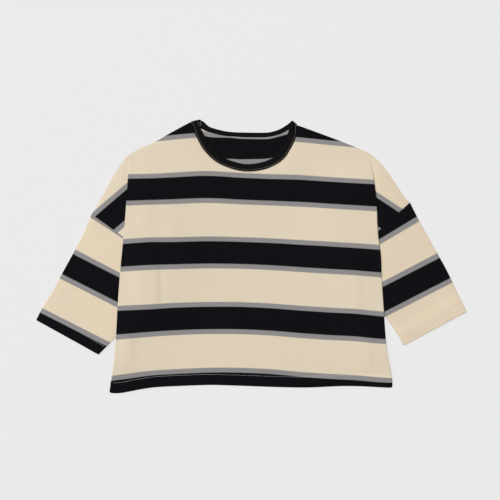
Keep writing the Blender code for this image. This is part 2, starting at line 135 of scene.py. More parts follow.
RIGHT = Side(
    sign=1,
    shoulder=(
        (87.0, 252.4), (93.8, 250.3), (176.0, 219.5), (225.3, 198.0), (249.1, 177.1),
        (270.5, 147.0), (291.5, 116.5), (303.0, 104.0),
    ),
    fold=(
        (225.3, 198.0), (233.5, 146.5), (238.0, 112.0), (240.0, 66.0), (241.8, 38.0),
        (246.5, 4.0), (248.8, -50.0), (252.5, -104.0), (256.0, -155.0), (258.7, -180.0),
        (262.0, -199.0), (266.3, -218.0), (268.9, -238.0), (269.2, -249.5),
    ),
    underarm=(172.0, -14.0),
    sleeve_outer=(
        (303.0, 104.0), (320.0, 70.5), (346.0, 23.0), (372.0, -23.0), (393.5, -68.0),
        (411.6, -105.6),
    ),
    sleeve_inner=((172.0, -14.0), (257.0, -116.5), (272.0, -137.0), (291.5, -169.5)),
)
HEM = (
    (-272.5, -258.5), (-268.0, -261.0), (-250.0, -260.5), (-213.5, -253.7), (-185.0, -249.7),
    (-137.0, -247.2), (-79.0, -245.3), (-22.0, -246.8), (55.0, -249.5), (112.0, -250.0),
    (170.0, -247.5), (209.0, -247.8), (247.0, -249.8), (264.0, -250.5), (269.2, -249.5),
)

# Seam edge of the neck binding from left to right, and the binding's width there
NeckRow = namedtuple("NeckRow", "x y width")
BAND_WIDTH = 14.2
NECK_FRONT = (
    NeckRow(-111.0, 242.0, 14.0),
    NeckRow(-104.5, 227.0, 14.3),
    NeckRow(-90.3, 203.0, BAND_WIDTH),
    NeckRow(-66.7, 181.3, BAND_WIDTH),
    NeckRow(-37.0, 168.6, BAND_WIDTH),
    NeckRow(-8.0, 163.7, BAND_WIDTH),
    NeckRow(26.5, 168.7, BAND_WIDTH),
    NeckRow(51.6, 180.5, BAND_WIDTH),
    NeckRow(64.4, 191.8, BAND_WIDTH),
    NeckRow(71.8, 203.5, BAND_WIDTH),
    NeckRow(81.0, 220.8, 15.0),
    NeckRow(86.0, 238.0, 16.0),
)
NECK_BACK = (
    NeckRow(-99.0, 247.3, 13.5),
    NeckRow(-85.0, 240.2, 10.3),
    NeckRow(-57.0, 232.6, 9.6),
    NeckRow(-35.0, 230.6, 8.8),
    NeckRow(-12.0, 229.4, 9.2),
    NeckRow(22.0, 229.2, 9.2),
    NeckRow(38.0, 230.9, 8.8),
    NeckRow(57.0, 236.3, 9.4),
    NeckRow(74.0, 245.6, 10.2),
)
# Where the binding turns over at a shoulder: its seam edge and its free edge there
TurnRow = namedtuple("TurnRow", "seam_x seam_y free_x free_y")
TURN_LEFT = TurnRow(-116.2, 258.2, -98.0, 262.0)
TURN_RIGHT = TurnRow(86.2, 252.4, 76.0, 260.6)
BAND_WALL = 1.6
BAND_GRID = 2.2  # spacing of its sections along the neck
# Columns from the seam edge to where the free edge rounds, as shares of the width
BAND_FLAT_SHARES = (0.0, 0.02, 0.05, 0.09, 0.13, 0.17, 0.22, 0.3, 0.4, 0.52, 0.64, 0.76, 0.86, 0.93)
BAND_EDGE_TURNS = 8  # faces round the free edge
BAND_TURNS = 8  # sections where the binding turns over
BAND_CROWN = 0.12  # the binding stands this share of its wall higher in its middle
BAND_GROOVE = 0.3  # depth that the stitching pulls into the binding
BAND_GROOVE_SHARE = 0.06  # half of the groove's width, as a share of the binding's

# Stitching
BAND_STITCH_IN = 2.9  # its distance from the binding's seam edge
BAND_STITCH_SHARE = BAND_STITCH_IN / BAND_WIDTH
CUFF_STITCH_IN = 21.0  # its distance from a cuff's edge
CUFF_STITCH_SHARES = (0.02, 0.98)  # where it starts and stops across the sleeve
CUFF_STITCH_POINTS = 60
HEM_STITCH_ENDS = 7.0  # its distance from both ends of the hem
HEM_STITCH_POINTS = 400
STITCH_GAP = 0.6  # from one stitch to the next
STITCH_RINGS = 7
STITCH_SIDES = 8
STITCH_TIP = 0.05  # roundness that a stitch keeps at its ends
STITCH_SAG = 0.7  # its ends go down by this share of its thickness
STITCH_REACH = 0.5  # its direction is taken this far to both sides of its middle
BAR_TACK = ((-102.3, 259.0, -101.3, 251.0), (-98.5, 259.6, -97.3, 251.6))  # ends of its strokes
BAR_STITCH = 2.4
BAR_THREAD = 0.7

# Stitch structure of the jersey. The real one has about 16 columns and 20 rows to the
# centimetre; it is drawn twice as coarse, so that it still shows.
WALE = 1.3  # width of a column
COURSE = 1.0  # height of a row
KNIT_SHADE = 0.1  # share of painted shade: the gaps between stitches are painted darker, their tops lighter
KNIT_RELIEF = 0.35  # strength of the bump
KNIT_DEPTH = 0.25
STITCH_LEAN = 0.5  # rows that a leg of a stitch rises across half a column
LEG_SLOPE = -1.2  # how a leg's height falls off beside its middle
LEG_TOP = 0.8
COURSE_SHARE = 0.45  # of a stitch's height, from row to row
YARN_NOISE = 1.1  # size of the yarn's unevenness
YARN_DETAIL = 2.0
BAND_EDGE = 0.9  # height over which one band's colour gives way to the next
EDGE_RAGGED = 0.8  # how far that edge wanders
CLOUD_SIZE = 45.0  # size of the faint lighter and darker places
CLOUD_DETAIL = 3.0
CLOUD_SHARE = 0.035
FLECK_SHARE = 0.05

# Rib knit of the binding and plies of the thread: tone is a least value plus shares
RIB = 1.6  # from one rib to the next
# share of painted shade: the binding is painted darker between its ribs
RIB_SHADE = 0.3
RIB_RELIEF = 0.5
RIB_DEPTH = 0.3
RIB_FLECK = 0.5
RIB_LEAST = 0.6
PLY = 0.5  # size of a twisted ply
PLY_DETAIL = 1.0
PLY_FLECK = 0.5
PLY_LEAST = 0.75

# Stage: the camera in millimetres, the floor and the lamps in metres, degrees and watts
WHITE = (1.0, 1.0, 1.0, 1.0)
LENS = 90.0
SENSOR = 36.0
CAMERA_X = -3.5
CAMERA_Y = 13.1
FLOOR_HALF = 8.0
Lamp = namedtuple("Lamp", "name azimuth elevation distance size power")
LAMPS = (
    Lamp("upper_left_lamp", -120.0, 42.0, 12.0, 4.0, 912.0),
    Lamp("overhead_lamp", 90.0, 80.0, 6.0, 5.0, 140.0),
)

# The stripe pattern of the cloth, from the upper edge of a black band downwards
BLACK_BAND = 42.3
LOWER_GREY = 9.2  # grey band below the black one, with the cream after it
UPPER_GREY = 9.6  # grey band above the next black one
REPEAT = 125.0  # from one black band's upper edge to the next one's

# Where a piece's stripes run: a point on the upper edge of a black band, the angle of
# the bands, how far the cloth is stretched along its length below and above that edge,
# and how much the bands turn over FAN_LENGTH above it.
FAN_LENGTH = 100.0
Grain = namedtuple("Grain", "x y angle stretch upper_stretch fan")
SHOULDER_GRAINS = (
    Grain(-275.1, 98.5, 40.5, 1.0, 1.0, 0.0),
    Grain(255.8, 102.0, -33.2, 1.05, 1.0, 0.0),
)
SLEEVE_GRAINS = (
    Grain(-298.2, -17.6, -26.7, 1.027, 0.985, 8.0),
    Grain(304.7, -30.7, 27.0, 1.03, 1.047, -4.4),
)

# Bands across the front: y of the upper edges of the black ones in the middle, from the
# shoulders' down to the hem's. Towards both sides each band dips below that.
BAND_TOPS = (277.2, 151.3, 28.3, -96.3, -222.6)
BAND_ORIGIN = 1.0  # number of the band from which the cloth's length is counted
Dip = namedtuple("Dip", "x shoulders first second third hem")
DIPS = (
    Dip(-280.0, 14.0, 2.2, 6.0, 9.0, 17.0),
    Dip(-244.0, 11.0, 2.0, 3.8, 6.6, 12.2),
    Dip(-195.0, 8.5, 1.4, 0.4, 4.4, 5.6),
    Dip(-156.0, 2.5, -0.4, 0.3, 1.9, 3.1),
    Dip(-98.0, -3.2, -3.5, -1.0, 0.0, 0.3),
    Dip(-66.0, -2.5, -3.0, -1.1, -0.2, -0.5),
    Dip(-22.0, 0.0, 0.0, 0.0, 0.0, 0.0),
    Dip(36.0, 0.5, 2.4, 2.1, 2.7, 2.5),
    Dip(94.0, 6.8, 4.0, 5.6, 7.1, 8.0),
    Dip(151.0, 13.5, 7.8, 8.8, 10.8, 11.7),
    Dip(199.0, 19.0, 10.7, 11.8, 13.0, 14.1),
    Dip(243.0, 24.0, 13.0, 15.0, 17.5, 18.0),
    Dip(280.0, 28.0, 15.0, 17.5, 20.0, 19.5),
)

# The band that shows on the back: y of its upper edge in the middle, and its rise from
# there towards both ends of the neck.
BACK_BAND_TOP = 225.4
BACK_STRETCH = 0.905
BACK_TAPER = 0.001  # its stretch is less by this for each millimetre to the right
BACK_GREY_STRETCH = 1.3  # the back's lower grey is this much wider again
BACK_RISES = (
    (-115.0, 9.5), (-91.0, 6.3), (-79.0, 4.0), (-62.0, 3.2), (-40.0, 2.6),
    (-22.0, 0.8), (0.0, 0.3), (24.0, 0.0), (36.0, 1.0), (47.0, 3.7),
    (59.0, 6.9), (71.0, 10.4), (90.0, 16.0),
)

# Soft ridges (positive) and troughs (negative) of the cloth: ends, width, height, and
# how much wider the left flank is than the right one.
Crease = namedtuple("Crease", "x0 y0 x1 y1 width height lean")
FRONT_CREASES = (
    Crease(-205.0, 116.0, -203.0, 30.0, 32.0, 1.2, 0.0),
    Crease(-155.0, 108.0, -153.0, 36.0, 30.0, 0.8, 0.0),
    Crease(-213.0, -30.0, -212.0, -80.0, 44.0, 1.9, 0.0),
    Crease(-184.5, -10.0, -182.0, -66.0, 36.0, 1.7, 0.72),
    Crease(-236.0, -152.0, -236.5, -190.0, 24.0, 1.7, 0.0),
    Crease(186.0, -58.0, 185.0, -92.0, 9.0, -0.45, 0.0),
    Crease(200.0, -40.0, 203.0, -80.0, 40.0, 1.3, 0.5),
    Crease(219.0, -152.0, 222.0, -200.0, 43.0, 1.9, 0.4),
    Crease(228.0, -180.0, 205.0, -222.0, 18.0, 0.3, 0.0),
    Crease(-120.0, 120.0, -60.0, 96.0, 26.0, 0.25, 0.0),
    Crease(70.0, 128.0, 130.0, 88.0, 26.0, 0.25, 0.0),
)
CREASE_FADE = 1.5  # a crease runs out over this many of its widths
EDGE_FADE = 14.0  # and dies down within this distance of a fold edge


def smooth(value):
    """0 to 1 with level ends, for value from 0 to 1."""
    value = np.clip(value, 0.0, 1.0)
    return value * value * (3 - 2 * value)


# ------------------------------------------------------------------- plan geometry


def curve_through(rows):
    """A close polyline along a smooth open curve through rows of (x, y)."""
    knots = np.array([row[:2] for row in rows], float)
    knots = np.vstack([2 * knots[0] - knots[1], knots, 2 * knots[-1] - knots[-2]])
    u = np.linspace(0, 1, CURVE_STEPS + 1)[1:, None]
    dense = [knots[1:2]]
    for before, start, end, after in zip(knots, knots[1:], knots[2:], knots[3:]):
        span = np.linalg.norm(end - start)
        tangent_in = (end - before) / np.linalg.norm(end - before) * span
        tangent_out = (after - start) / np.linalg.norm(after - start) * span
        dense.append(
            start * (2 * u**3 - 3 * u**2 + 1)
            + tangent_in * (u**3 - 2 * u**2 + u)
            + end * (3 * u**2 - 2 * u**3)
            + tangent_out * (u**3 - u**2)
        )
    return np.vstack(dense)


def lengths_along(points):
    """Length from a polyline's start to each of its points."""
    steps = np.linalg.norm(np.diff(points, axis=0), axis=1)
    return np.concatenate([[0.0], np.cumsum(steps)])


def at_lengths(points, lengths):
    """The points of a polyline at these lengths along it."""
    walked = lengths_along(points)
    columns = [np.interp(lengths, walked, points[:, k]) for k in range(points.shape[1])]
    return np.column_stack(columns)


def resample(points, start_rows, end_rows):
    """A polyline's points at graded lengths."""
    return at_lengths(points, graded(lengths_along(points)[-1], start_rows, end_rows))


def graded(length, start_rows=(0.0,), end_rows=(0.0,), step=GRID):
    """Lengths from 0 to length: start_rows, even steps, then end_rows from the end."""
    first, last = start_rows[-1], length - end_rows[-1]
    count = max(1, round((last - first) / step))
    middle = np.linspace(first, last, count + 1)
    before = np.array(start_rows[:-1])
    after = length - np.array(end_rows[:-1])[::-1]
    return np.concatenate([before, middle, after])


class Layout:
    """Where the folds of one side run, and how high its layers lie."""

    def __init__(self, side):
        self.sign = side.sign
        self.shoulder = curve_through(side.shoulder)
        self.fold = curve_through(side.fold)
        self.top = self.fold[0]
        self.corner = self.fold[-1]
        self.underarm = np.array(side.underarm)
        self.tuck = curve_through((self.top, self.underarm, self.corner))
        self.sleeve_outer = curve_through(side.sleeve_outer)
        self.sleeve_inner = curve_through(side.sleeve_inner)
        self.sleeve_length = lengths_along(self.sleeve_outer)[-1]
        self.inner_length = lengths_along(self.sleeve_inner)[-1]
        along = np.array(side.shoulder[-1]) - self.underarm
        self.armhole_length = np.linalg.norm(along)
        self.armhole_way = along / self.armhole_length

    @staticmethod
    def x_at(line, y):
        """x where a line that runs down the garment passes height y."""
        return np.interp(y, line[::-1, 1], line[::-1, 0])

    def shoulder_y(self, x):
        """Height of the shoulder edge at x, between the neck and the fold edge."""
        order = slice(None, None, self.sign)
        return np.interp(x, self.shoulder[order, 0], self.shoulder[order, 1])

    def shoulder_inside(self, end):
        """The shoulder edge from the neck to end, where the main layer's fold starts."""
        inside = (end[0] - self.shoulder[:, 0]) * self.sign > LEAST_TUCK
        return np.vstack([self.shoulder[inside], end])

    def shoulder_outside(self):
        """The dropped shoulder's outer edge, from the fold edge to the armhole."""
        outside = (self.shoulder[:, 0] - self.top[0]) * self.sign > LEAST_TUCK
        return np.vstack([self.top, self.shoulder[outside]])

    def across_sleeve(self, length):
        """Points on a sleeve's outer and inner edge at a length along its outer one."""
        start = at_lengths(self.sleeve_outer, [length])[0]
        share = length / self.sleeve_length
        return start, at_lengths(self.sleeve_inner, [share * self.inner_length])[0]

    def outside(self, x, y):
        """Distance outside the fold edge; inside it is negative."""
        return (x - self.x_at(self.fold, y)) * self.sign

    def in_tuck(self, x, y):
        """Distance past the inner fold of the tuck, towards the fold edge."""
        return (x - self.x_at(self.tuck, y)) * self.sign

    def above_armhole(self, x, y):
        """Distance from the armhole seam towards the shoulder."""
        dx, dy = x - self.underarm[0], y - self.underarm[1]
        return self.sign * (self.armhole_way[0] * dy - self.armhole_way[1] * dx)

    def in_sleeve(self, x, y):
        """Distance past the sleeve's inner edge, towards its outer one."""
        return (x - self.x_at(self.sleeve_inner, y)) * self.sign

    def fullness(self, y):
        """0 at the ends of the tuck, 1 where it is wide enough to stand full."""
        width = (self.x_at(self.fold, y) - self.x_at(self.tuck, y)) * self.sign
        return smooth(width / TUCK_FULL)

    def lift(self, x, y):
        """Height of the underside of the dropped shoulder and the sleeve."""
        drop = smooth((self.outside(x, y) - ARM_LEVEL) / ARM_DROP)
        return SHOULDER_LIFT * self.fullness(y) * (1 - drop)

    def hidden_shares(self, x, y):
        """How full the tuck's stack is, and how much of it is dropped shoulder."""
        full = smooth(1 + self.in_tuck(x, y) / TUCK_SLOPE) * self.fullness(y)
        return full, smooth(self.above_armhole(x, y) / ARMHOLE_BLEND)

    def under_front(self, x, y):
        """Height of what lies between the back's first layer and the front."""
        full, shoulder = self.hidden_shares(x, y)
        past_sleeve = -self.in_sleeve(x, y) - SLEEVE_CLEAR
        sleeve = (1 - shoulder) * smooth(1 - past_sleeve / SLEEVE_SLOPE)
        between = LAYER + shoulder * PANEL_STEP + sleeve * 2 * PANEL_STEP
        return full * between

    def own_layers(self, x, y):
        """Height of the front's own extra layers."""
        full, shoulder = self.hidden_shares(x, y)
        return full * LAYER * (1 + shoulder)


LAYOUTS = (Layout(LEFT), Layout(RIGHT))
HEM_LINE = curve_through(HEM)
BACK_LINE = curve_through(BACK_RISES)
DIP_LINES = [curve_through([(row.x, row[band]) for row in DIPS]) for band in range(1, 6)]


def either_side(method, x, *rest):
    """A Layout method's values, taken from the nearer side at each point."""
    left = getattr(LAYOUTS[0], method)(*rest)
    right = getattr(LAYOUTS[1], method)(*rest)
    return np.where(x < 0, left, right)


def hem_y(x):
    """y of the hem's edge at x."""
    return np.interp(x, HEM_LINE[:, 0], HEM_LINE[:, 1])


def turn_up(x, y, ends_at):
    """1 on a turned-up hem, 0 above it. ends_at is where the step is over."""
    return smooth((ends_at - (y - hem_y(x))) / HEM_STEP)


def crease_height(x, y, creases):
    """Sum of soft ridges and troughs, each fading out at its ends and sides."""
    total = np.zeros(np.shape(x))
    for x0, y0, x1, y1, width, height, lean in creases:
        run = math.hypot(x1 - x0, y1 - y0)
        way_x, way_y = (x1 - x0) / run, (y1 - y0) / run
        along = (x - x0) * way_x + (y - y0) * way_y
        aside = (x - x0) * way_y - (y - y0) * way_x
        past = np.maximum(-along, along - run)
        fade = smooth(1 - np.maximum(past, 0) / (CREASE_FADE * width))
        half = width / 2 * (1 + lean * np.sign(aside))
        total += height * fade * np.exp(-((aside / half) ** 2))
    return total


def waviness(x, y, ripples):
    """Soft uneven swell of laid cloth: a sum of ripples, with humps about spacing apart."""
    flat_x, flat_y = np.ravel(x), np.ravel(y)
    total = np.zeros(np.shape(x))
    for ripple in ripples:
        places = zip(flat_x / ripple.spacing, flat_y / ripple.spacing)
        values = [noise.noise(Vector((px, py, ripple.seed))) for px, py in places]
        total += ripple.height * np.reshape(values, np.shape(x))
    return total


def front_swell(x, y):
    """Loft and creases of the front above its pressed-flat height."""
    inside = np.minimum(-either_side("outside", x, x, y), y - hem_y(x) - HEM_DEPTH)
    loft = (waviness(x, y, FRONT_RIPPLES) + FRONT_LOFT) * smooth(inside / LOFT_FADE)
    creases = crease_height(x, y, FRONT_CREASES) * smooth(inside / EDGE_FADE)
    return np.maximum(loft + creases, DEEPEST)


def arm_swell(x, y):
    """Loft of the dropped shoulders and the sleeves, never below pressed flat."""
    return np.maximum(waviness(x, y, ARM_RIPPLES) + ARM_LOFT, 0.0)


# --------------------------------------------------------------------- cloth grain


def front_grain(x, y):
    """(across, along) in the cloth of the front body, in millimetres."""
    tops = [top - np.interp(x, line[:, 0], line[:, 1]) for top, line in zip(BAND_TOPS, DIP_LINES)]
    along = (np.arange(len(tops)) - BAND_ORIGIN) * REPEAT
    upper = np.clip(sum(y < top for top in tops[1:-1]), 0, len(tops) - 2)
    above = np.choose(upper, tops[:-1])
    below = np.choose(upper, tops[1:])
    return x, along[upper] + (above - y) / (above - below) * REPEAT


def back_grain(x, y):
    """(across, along) in the cloth of the back body."""
    rise = np.interp(x, BACK_LINE[:, 0], BACK_LINE[:, 1])
    along = (BACK_BAND_TOP + rise - y) / (BACK_STRETCH - BACK_TAPER * x)
    past_black = np.maximum(along - BLACK_BAND, 0.0)
    return x, along - past_black * (1 - 1 / BACK_GREY_STRETCH)


def piece_grain(grain, x, y):
    """(across, along) in a piece whose bands run at an angle."""
    dx, dy = x - grain.x, y - grain.y
    angle = np.radians(grain.angle)
    along = -(math.cos(angle) * dy - math.sin(angle) * dx)
    across = math.cos(angle) * dx + math.sin(angle) * dy
    turn = np.radians(grain.fan) * np.minimum(along, 0.0) / FAN_LENGTH
    stretch = np.where(along < 0, grain.upper_stretch, grain.stretch)
    return across, (along + across * turn) / stretch


# -------------------------------------------------------------------- mesh building


def coons(bottom, top, left, right, u, v):
    """Points inside four edges. bottom and top run right, left and right run up."""
    u, v = u[None, :, None], v[:, None, None]
    ruled = (1 - v) * bottom[None] + v * top[None]
    ruled = ruled + (1 - u) * left[:, None] + u * right[:, None]
    corners = (1 - u) * (1 - v) * bottom[0] + u * (1 - v) * bottom[-1]
    corners = corners + (1 - u) * v * top[0] + u * v * top[-1]
    return ruled - corners


def half_turn(steps):
    """Angles from 0 to a half turn."""
    return np.linspace(0, math.pi, steps + 1)


def outward_ways(points):
    """Unit vectors to the right of a polyline's run, at each of its points."""
    ahead = np.diff(points, axis=0)
    ahead /= np.linalg.norm(ahead, axis=1)[:, None]
    along = np.vstack([ahead[:1], ahead[1:] + ahead[:-1], ahead[-1:]])
    along /= np.linalg.norm(along, axis=1)[:, None]
    return np.column_stack([along[:, 1], -along[:, 0]])


def new_piece(name, vertices, faces, materials):
    """A mesh object in the scene. Its vertices are in metres."""
    mesh = bpy.data.meshes.new(name)
    mesh.from_pydata(vertices, [], faces)
    for material in materials:
        mesh.materials.append(material)
    piece = bpy.data.objects.new(name, mesh)
    bpy.context.scene.collection.objects.link(piece)
    return piece


class ClothMesh:
    """Patches of one sheet, joined where they meet."""

    def __init__(self):
        self.count = 0
        self.vertices = []
        self.faces = []
        self.grain = []
        self.slots = []

    def patch(self, x, y, z, grain, under=False, slot=0, closed=False):
        """Adds a grid of points. grain is (across, along) in the cloth at each of them.
        under is set for all grids past a fold of the main layer, so that their faces
        go on from its faces. closed joins the last column to the first."""
        rows, columns = x.shape
        self.vertices.append(np.column_stack([np.ravel(x), np.ravel(y), np.ravel(z)]))
        self.grain.append(np.column_stack([np.ravel(g) for g in grain]))
        index = self.count + np.arange(rows * columns).reshape(rows, columns)
        corners = [index[:-1, :-1], index[:-1, 1:], index[1:, 1:], index[1:, :-1]]
        faces = np.stack(corners, axis=-1).reshape(-1, 4)
        if closed:
            joint = [index[:-1, -1], index[:-1, 0], index[1:, 0], index[1:, -1]]
            faces = np.vstack([faces, np.column_stack(joint)])
        self.faces.append(faces[:, ::-1] if under else faces)
        self.slots.append(np.full(len(faces), slot))
        self.count += rows * columns

    def make(self, name, materials, thickness=0.0):
        """The sheet with its grain as UVs in metres, as a shell if it has a thickness."""
        vertices = np.vstack(self.vertices) * MM
        faces = np.vstack(self.faces)
        grain = np.vstack(self.grain) * MM
        body = new_piece(name, vertices.tolist(), faces.tolist(), materials)
        layer = body.data.uv_layers.new(name="cloth_grain")
        layer.data.foreach_set("uv", grain[faces.ravel()].astype(np.float32).ravel())
        body.data.polygons.foreach_set("material_index", np.concatenate(self.slots))
        body.data.shade_smooth()
        weld = body.modifiers.new("joined_patches", "WELD")
        weld.merge_threshold = WELD_REACH * MM
        if thickness:
            wall = body.modifiers.new("cloth_thickness", "SOLIDIFY")
            wall.thickness = thickness
            wall.offset = 0.0
        return body


# --------------------------------------------------------------------- body panels


def row_lengths():
    """Lengths up a fold edge, below the underarm and above it, from the left side."""
    left = LAYOUTS[0]
    below = left.underarm[1] - left.corner[1]
    above = left.top[1] - left.underarm[1]
    return graded(below, HEM_ROWS), graded(above, EDGE_ROWS, EDGE_ROWS)


def fold_rows(layout):
    """Points up one fold edge, where the main layer starts to turn."""
    reach = FOLD_REACH * layout.sign
    low = hem_y(layout.corner[0] - reach) + FOLD_REACH
    high = layout.shoulder_y(layout.top[0] - reach)
    below, above = row_lengths()
    middle = layout.underarm[1]
    y = np.concatenate([
        low + (middle - low) * below / below[-1],
        (middle + (high - middle) * above / above[-1])[1:],
    ])
    return np.column_stack([layout.x_at(layout.fold, y) - reach, y])


def neck_edge(rows):
    """A panel's neckline from left to right, beside the binding's seam edge."""
    seam = band_edges(rows)[0]
    return seam + outward_ways(seam) * GAP


class BodyPanel:
    """The front or the back panel with its folds, tucks and dropped shoulders.
    way is -1 where its tucks lie below it and 1 where they lie above it; main and
    shoulder give the height of its main layer and of its dropped shoulders."""

    def __init__(self, neck, way, main, shoulder, grain):
        self.neck = neck
        self.way = way
        self.main = main
        self.shoulder = shoulder
        self.grain = grain
        self.mesh = ClothMesh()
        self.main_layer()
        self.turned_edge()
        for layout in LAYOUTS:
            self.tuck(layout)

    def main_layer(self):
        """The layer between both fold edges, the hem and the shoulders."""
        left, right = LAYOUTS
        left_edge, right_edge = fold_rows(left), fold_rows(right)
        shoulder_left = left.shoulder_inside(left_edge[-1])[::-1]
        shoulder_right = right.shoulder_inside(right_edge[-1])
        top = np.vstack([
            resample(shoulder_left, EDGE_ROWS, (0.0,)),
            resample(self.neck, (0.0,), (0.0,))[1:-1],
            resample(shoulder_right, (0.0,), EDGE_ROWS),
        ])
        u = lengths_along(top)
        u /= u[-1]
        x = left_edge[0, 0] + (right_edge[0, 0] - left_edge[0, 0]) * u
        bottom = np.column_stack([x, hem_y(x) + FOLD_REACH])
        v = lengths_along(left_edge)
        v /= v[-1]
        points = coons(bottom, top, left_edge, right_edge, u, v)
        x, y = points[..., 0], points[..., 1]
        from_top = np.hypot(x - x[-1], y - y[-1])
        self.x, self.y = x, y
        self.z = self.main(x, y, from_top)
        self.mesh.patch(x, y, self.z, self.grain(x, y))

    def turned_edge(self):
        """The fold all along both sides and the hem, and the hem's turned-up layer."""
        parts = [(g[::-1, 0], g[0, 1:-1], g[:, -1]) for g in (self.x, self.y, self.z)]
        x, y, z = (np.concatenate(part) for part in parts)
        edge = np.column_stack([x, y])
        out = outward_ways(edge)
        full = np.maximum(either_side("fullness", x, y), turn_up(x, y, HEM_DEPTH))
        self.pitch = LAYER * np.maximum(full, LEAST_PITCH)
        angle = half_turn(FOLD_TURNS)[:, None]
        reach = FOLD_REACH * np.sin(angle)
        run = FOLD_RUN * angle / math.pi
        self.mesh.patch(
            x + out[:, 0] * reach,
            y + out[:, 1] * reach,
            z + self.way * self.pitch * (1 - np.cos(angle)) / 2,
            self.grain(x + out[:, 0] * run, y + out[:, 1] * run),
            under=True,
        )
        rows = len(self.x)
        hem = slice(rows - 1, len(x) - rows + 1)
        depth = np.array(TURN_UP_ROWS)[:, None]
        hem_x, hem_low = x[hem] + 0 * depth, y[hem] + depth
        height = self.main(hem_x, hem_low, HEM_CLEAR) + self.way * self.pitch[hem]
        turned = self.grain(hem_x, y[hem] - FOLD_RUN - depth)
        self.mesh.patch(hem_x, hem_low, height, turned, under=True)

    def tuck(self, layout):
        """The layer folded under one side, and the dropped shoulder that comes back."""
        rows = len(self.x)
        if layout.sign < 0:
            pick, column = slice(None, None, -1), 0
            pitch = self.pitch[:rows]
        else:
            pick, column = slice(None), -1
            pitch = self.pitch[-rows:]
        x, y = self.x[pick, column], self.y[pick, column]
        inner_x = layout.x_at(layout.tuck, y)
        inner_x = x - np.maximum((x - inner_x) * layout.sign, LEAST_TUCK) * layout.sign
        share = np.linspace(0, 1, TUCK_COLUMNS + 1)[:, None]
        tuck_x = x + (inner_x - x) * share
        tuck_y = y + 0 * share
        from_top = np.abs(self.y[-1, column] - tuck_y)
        height = self.main(tuck_x, tuck_y, from_top) + self.way * pitch
        beyond = x + layout.sign * (FOLD_RUN + np.abs(tuck_x - x))
        self.mesh.patch(tuck_x, tuck_y, height, self.grain(beyond, tuck_y), under=True)
        self.dropped_shoulder(layout, inner_x, y, height[-1])

    def dropped_shoulder(self, layout, inner_x, inner_y, tuck_z):
        """From the inner fold of a tuck out to the shoulder edge and the armhole."""
        above = row_lengths()[1]
        upper = slice(0, len(above)) if layout.sign < 0 else slice(-len(above), None)
        inner = np.column_stack([inner_x[upper], inner_y[upper]])
        edge = layout.shoulder_outside()
        shares = above / above[-1]
        if layout.sign < 0:
            shares = shares[::-1]
        outer = at_lengths(edge, (1 - shares) * lengths_along(edge)[-1])
        columns = graded(layout.armhole_length, (0.0,), EDGE_ROWS)
        columns = (columns / columns[-1])[:, None, None]
        points = inner + (outer - inner) * columns
        x, y = points[..., 0], points[..., 1]
        from_edge = np.hypot(x - outer[:, 0], y - outer[:, 1])
        seam = np.minimum(from_edge, np.abs(layout.above_armhole(x, y)))
        z = self.shoulder(layout, x, y, seam)
        bands = SHOULDER_GRAINS[max(layout.sign, 0)]
        lit = int(layout.sign > 0)  # slot of the copy with painted light: the cream painted lighter, as the cloth looks turned to the light
        self.mesh.patch(x, y, z, piece_grain(bands, x, y), under=True, slot=lit)
        start, end = tuck_z[upper], z[0]
        angle = half_turn(INNER_TURNS)[:, None]
        fold_x = inner[:, 0] - layout.sign * np.sin(angle) * LAYER / 2
        fold_y = inner[:, 1] + 0 * angle
        fold_z = start + (end - start) * (1 - np.cos(angle)) / 2
        self.mesh.patch(fold_x, fold_y, fold_z, piece_grain(bands, fold_x, fold_y), under=True)


def front_main(x, y, from_top):
    """Middle height of the front's main layer."""
    hem = LAYER * turn_up(x, y, HEM_DEPTH + HEM_STEP)
    layers = either_side("under_front", x, x, y) + either_side("own_layers", x, x, y)
    swell = front_swell(x, y) * smooth(from_top / SWELL_FADE)
    dip = SEAM_DIP * smooth(1 - from_top / SEAM_REACH)
    return FRONT_MIDDLE + 2 * hem + layers + swell - dip


def front_shoulder(layout, x, y, from_seam):
    """Middle height of the front's dropped shoulder."""
    swell = arm_swell(x, y) * smooth(from_seam / SWELL_FADE)
    swell = swell * smooth(layout.outside(x, y) / SWELL_FADE)
    dip = SEAM_DIP * smooth(1 - from_seam / SEAM_REACH)
    return FRONT_MIDDLE + layout.lift(x, y) + swell - dip


def back_main(x, y, from_top):
    """Middle height of the back's main layer, the same everywhere."""
    return BACK_MIDDLE + 0 * x


def back_shoulder(layout, x, y, from_seam):
    """Middle height of the back's dropped shoulder."""
    return BACK_MIDDLE + layout.lift(x, y)


# -------------------------------------------------------------------------- sleeves


